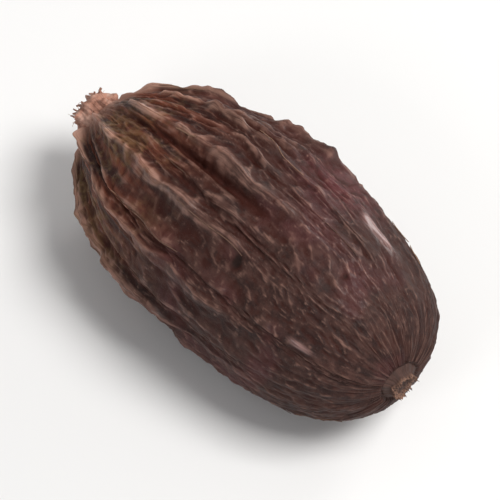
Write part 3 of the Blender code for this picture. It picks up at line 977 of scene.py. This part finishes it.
crumple = np.array([[crumpled(angle, share) for angle in tube_angle] for share in tube_share])
tube_collar = TUBE_COLLAR * np.exp(-(((tube_share - TUBE_COLLAR_AT) / TUBE_COLLAR_LENGTH) ** 2))
tube_reach = TUBE_RADIUS * tube_width[:, None] * ridged(TUBE_LOBES, tube_angle) * veins * tube_uneven
tube_reach = tube_reach * (1 + CRUMPLE_REACH * crumple) + tube_collar[:, None]
tube_middle = np.array([at_tube(share) for share in tube_share])
tube_points = np.stack([
    np.broadcast_to(tube_middle[:, 0, None], tube_reach.shape),
    tube_middle[:, 1, None] + tube_reach * np.cos(tube_angle),
    tube_middle[:, 2, None] + tube_reach * np.sin(tube_angle),
], axis=2)
flower_parts = [mould("flower_tube", tube_points, {
    "grain": rolled_grain(TUBE_RADIUS, tube_angle, TUBE_LENGTH * tube_share[:, None]),
    "along": np.broadcast_to(tube_share[:, None] * 0.5, tube_reach.shape),
    "tone": 0.45 + 0.6 * crumple,
})]

sprig_draw = random.Random(FLOWER_SEED + 1)
fray_draw = random.Random(FRAY_SEED)
for label, kind in (("shred", SHREDS), ("strand", STRANDS)):
    for index in range(kind["count"]):
        around = TURN * (index + sprig_draw.uniform(-0.3, 0.3)) / kind["count"]
        path = sprig_path(kind, around, sprig_draw)
        flower_parts += fray(f"{label}_{index}", path, kind, fray_draw)
        if kind is SHREDS:
            tatter = fray_draw.uniform(0, TURN)
            widths, depths = [], []
            for step in range(SPRIG_STEPS):
                share = step / (SPRIG_STEPS - 1)
                ripple = 1 + 0.16 * math.sin(15 * share + tatter)
                widths.append(kind["root"] * (1.05 - 0.6 * share**1.8) * ripple)
                depths.append(PAPER_HALF_THICKNESS * (1 - 0.6 * share))
            tone, twist = fray_draw.random(), fray_draw.uniform(-2, 2)
            flower_parts.append(mould_strand(f"paper_{index}", path, widths, depths, 10, tone, twist=twist))


def any_way(draw):
    """A random direction, not of unit length."""
    return Vector([draw.uniform(-1, 1) for _ in range(3)])


for index in range(HAIR_COUNT):
    around = fray_draw.uniform(0, TURN)
    sideways = Vector((0, math.cos(around), math.sin(around)))
    root_share = fray_draw.uniform(*HAIR_ROOTS)
    root_width = float(np.interp(root_share, profile_shares, profile_widths))
    point = at_tube(root_share) + TUBE_RADIUS * 0.8 * root_width * sideways
    splay = math.radians(fray_draw.uniform(*HAIR_SPLAY))
    heading = Vector((-math.cos(splay), 0, 0)) + math.sin(splay) * sideways
    turn_axis = any_way(fray_draw).normalized()
    turning = math.radians(fray_draw.uniform(*HAIR_TURNS))
    step_length = fray_draw.uniform(*HAIR_LENGTHS) / HAIR_STEPS
    path = [point]
    for _ in range(HAIR_STEPS):
        turn_axis = (turn_axis + 0.25 * any_way(fray_draw)).normalized()
        heading = Quaternion(turn_axis, turning) @ heading
        point = point + step_length * heading
        path.append(point)
    radius = fray_draw.uniform(*HAIR_RADII)
    widths = [radius * (1 - 0.6 * step / HAIR_STEPS) for step in range(HAIR_STEPS + 1)]
    flower_parts.append(mould_strand(f"hair_{index}", path, widths, widths, 5, fray_draw.random()))
flower = join_pieces("withered_flower", flower_parts)

FLOWER_PINK = srgb(178, 128, 108)
FLOWER_BROWN = srgb(132, 90, 74)
FLOWER_TAN = srgb(208, 172, 156)
FLOWER_DARK = srgb(70, 42, 33)
FLOWER_TOOTH = 0.00007

withered = Finish("withered_flower")
flower_grain = withered.attribute("grain", "Vector")
flower_tone = withered.attribute("tone")
flower_along = withered.attribute("along")
flower_place = withered.node("TexCoord", {}, {}, "Object")
veining = withered.noise(flower_grain, 0.00009, 0.0014, 3.0, 0.6)
blotch = withered.noise(flower_place, 0.0009, 0.0009, 3.0)
petal = withered.layers(FLOWER_BROWN, (
    (withered.step(veining * 0.7 + flower_tone * 0.3, 0.34, 0.62), FLOWER_PINK),
    (withered.step(blotch, 0.48, 0.68, 0.6), FLOWER_TAN),
    (withered.step(blotch, 0.46, 0.30, 0.6), FLOWER_DARK),
    (withered.step(flower_along, 0.8, 1.0, 0.20), FLOWER_DARK),
))
withered.shade(
    Base_Color=petal,
    Roughness=0.66,
    Normal=withered.bump(veining, FLOWER_TOOTH, 0.9),
)
withered.wear(flower)
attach(flower, "root")
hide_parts("calyx_tuft")

# Stalk's stub: woody fibre, fluted, that was torn off just past the husk. Its rim is ragged, with the ends of
# its fibres standing out, and its pith has dried to a hollow.
STALK_RADIUS = 0.00110
STALK_STANDS_OUT = 0.0005
STALK_PROFILE = ((0.0, 1.0), (0.35, 1.0), (0.7, 0.92), (1.0, 0.98))
PITH_PROFILE = (0.84, 0.55)
STALK_TEAR = 0.00020
STALK_FLUTES = 7
STALK_SEED = 5
STALK_RINGS = 34
PITH_RINGS = 22
PITH_ROUGHNESS = 0.00016
STALK_SEGMENTS = 98
STALK_COLLAR = 0.00054
STALK_COLLAR_LENGTH = 0.18
COLLAR_INSIDE = 0.20
COLLAR_LOPSIDED = 0.30
COLLAR_PLEATS = 0.09
RAGGED_WAVES = 9
LOPSIDED_WAVES = 1.8
STALK_LOPSIDED = 0.16
COARSE_STRIP = 0.028
FINE_STRIP = 0.02
FINE_STRIP_COUNT = 43
SPLINTER_COUNT = 44
SPLINTER_LENGTHS = (0.00012, 0.00032)
SPLINTER_RADII = (0.000035, 0.00007)
SPLINTER_LEAN = (-0.25, 0.5)
SPLINTER_ROOT = 0.0001
SPLINTER_STEPS = 7


def hills_round(waves):
    """Random hills at each angle round the stalk, the finer the more waves."""
    around = ((waves * math.cos(angle), waves * math.sin(angle)) for angle in stalk_angle)
    return np.array([noise.noise(Vector((*place, 5.5))) for place in around])


stalk_draw = random.Random(STALK_SEED)
tears = np.array([stalk_draw.uniform(-STALK_TEAR, STALK_TEAR) for _ in range(STALK_FLUTES * 2)])
stalk_angle = np.arange(STALK_SEGMENTS) * TURN / STALK_SEGMENTS
tear = round_sides(tears, stalk_angle)
ragged = hills_round(RAGGED_WAVES)
lopsided = hills_round(LOPSIDED_WAVES)
stalk_start = STALK_REACH - HOLLOW_LIP - HOLLOW_DEPTH + JOIN_GAP
stalk_length = STALK_REACH + STALK_STANDS_OUT - stalk_start
outer = np.linspace(0, 1, STALK_RINGS)
inner = np.linspace(0, 1, PITH_RINGS + 1)[1:]
stalk_share = np.concatenate([outer, 1 + (PITH_PROFILE[0] - 1) * inner])
outer_width = np.interp(outer, *zip(*STALK_PROFILE))
inner_width = outer_width[-1] * (1 - inner) + PITH_PROFILE[1] * inner * (1 - inner) + 0.12 * inner
stalk_width = np.concatenate([outer_width, inner_width])
at_rim = np.concatenate([blend(0.72, 1.0, outer), 1 - blend(0.0, 1.0, inner)])[:, None]
strips = 1 + COARSE_STRIP * np.cos(4 * STALK_FLUTES * stalk_angle + 0.7)
strips = strips + FINE_STRIP * np.cos(FINE_STRIP_COUNT * stalk_angle)
fluted = ridged(STALK_FLUTES, stalk_angle) * strips * (1 + STALK_LOPSIDED * lopsided)
pithwards = np.concatenate([np.zeros(STALK_RINGS), inner])[:, None]
lip_share = (STALK_REACH - stalk_start) / stalk_length
collar_away = (outer - lip_share + COLLAR_INSIDE) / STALK_COLLAR_LENGTH
stalk_collar = np.concatenate([STALK_COLLAR * np.exp(-(collar_away**2)), np.zeros(PITH_RINGS)])[:, None]
pleats = COLLAR_PLEATS * np.cos(RIB_COUNT * stalk_angle)
stalk_collar = stalk_collar * (1 + COLLAR_LOPSIDED * lopsided + pleats)
stalk_relief = 1 + (fluted - 1) * (1 - pithwards)
stalk_reach = STALK_RADIUS * stalk_width[:, None] * stalk_relief + stalk_collar
stalk_middle_y, stalk_middle_z = axis_at(1.0)
across_y, across_z = stalk_reach * np.cos(stalk_angle), stalk_reach * np.sin(stalk_angle)
pith_hills = skin_noise(np.stack([across_y, across_z, 0 * across_y], axis=2), 0.00030, 1.0, 3.3)
stalk_x = stalk_start + stalk_length * stalk_share[:, None] + at_rim * (tear + STALK_TEAR * ragged)
stalk_x = stalk_x + PITH_ROUGHNESS * pith_hills * blend(0.0, 0.15, pithwards)
stalk_points = np.stack([
    stalk_x, stalk_middle_y + across_y, stalk_middle_z + across_z
], axis=2) + to_frame
torn = np.concatenate([blend(0.80, 1.0, outer), 1 - 0.5 * blend(0.3, 1.0, inner)])[:, None]
stalk_parts = [mould("stalk_body", stalk_points, {
    "grain": rolled_grain(STALK_RADIUS, stalk_angle, stalk_length * stalk_share[:, None]),
    "along": np.broadcast_to(torn, stalk_reach.shape),
    "tone": np.broadcast_to(0.5 - 0.5 * pithwards, stalk_reach.shape),
})]
for index in range(SPLINTER_COUNT):
    segment = stalk_draw.randrange(STALK_SEGMENTS)
    ring = STALK_RINGS - 1 + stalk_draw.randrange(-2, 5)
    root = Vector(stalk_points[ring, segment])
    outwards = Vector((0, math.cos(stalk_angle[segment]), math.sin(stalk_angle[segment])))
    heading = Vector((1, 0, 0)) + stalk_draw.uniform(*SPLINTER_LEAN) * outwards
    length = stalk_draw.uniform(*SPLINTER_LENGTHS)
    shares = [step / SPLINTER_STEPS for step in range(SPLINTER_STEPS + 1)]
    path = [root - SPLINTER_ROOT * heading + length * heading * share for share in shares]
    radius = stalk_draw.uniform(*SPLINTER_RADII)
    widths = [radius * (1 - 0.8 * share**2) for share in shares]
    stalk_parts.append(mould_strand(f"splinter_{index}", path, widths, widths, 5, stalk_draw.random()))
stalk = join_pieces("torn_stalk", stalk_parts)

STALK_BARK = srgb(60, 40, 34)
STALK_TAN = srgb(80, 54, 46)
STALK_TORN = srgb(134, 100, 82)
STALK_DARK = srgb(34, 19, 15)
STALK_TOOTH = 0.00005

woody = Finish("torn_woody_stalk")
stalk_grain = woody.attribute("grain", "Vector")
stalk_torn = woody.attribute("along")
stalk_tone = woody.attribute("tone")
stalk_place = woody.node("TexCoord", {}, {}, "Object")
woody_streak = woody.noise(stalk_grain, 0.00009, 0.0012, 3.0, 0.6)
fibre_ends = woody.noise(stalk_place, 0.00012, 0.00012, 3.0, 0.6)
bark = woody.layers(STALK_BARK, (
    (woody.step(woody_streak, 0.35, 0.65), STALK_TAN),
    (woody.step(woody_streak, 0.40, 0.26, 0.8), STALK_DARK),
    (stalk_torn * woody.step(fibre_ends * 0.7 + stalk_tone * 0.3, 0.32, 0.54), STALK_TORN),
    (stalk_torn * woody.step(fibre_ends, 0.46, 0.34, 0.7), STALK_DARK),
    # Painted shade: the deepest part of the pith's hollow is darkened.
    (stalk_torn * woody.step(stalk_tone, 0.22, 0.05, 0.75), STALK_DARK),
))
woody.shade(
    Base_Color=bark,
    Roughness=0.8,
    Normal=woody.bump(woody_streak * 0.6 + fibre_ends * 0.4, STALK_TOOTH, 0.8),
)
woody.wear(stalk)
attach(stalk, "root")
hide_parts("stalk_stub")
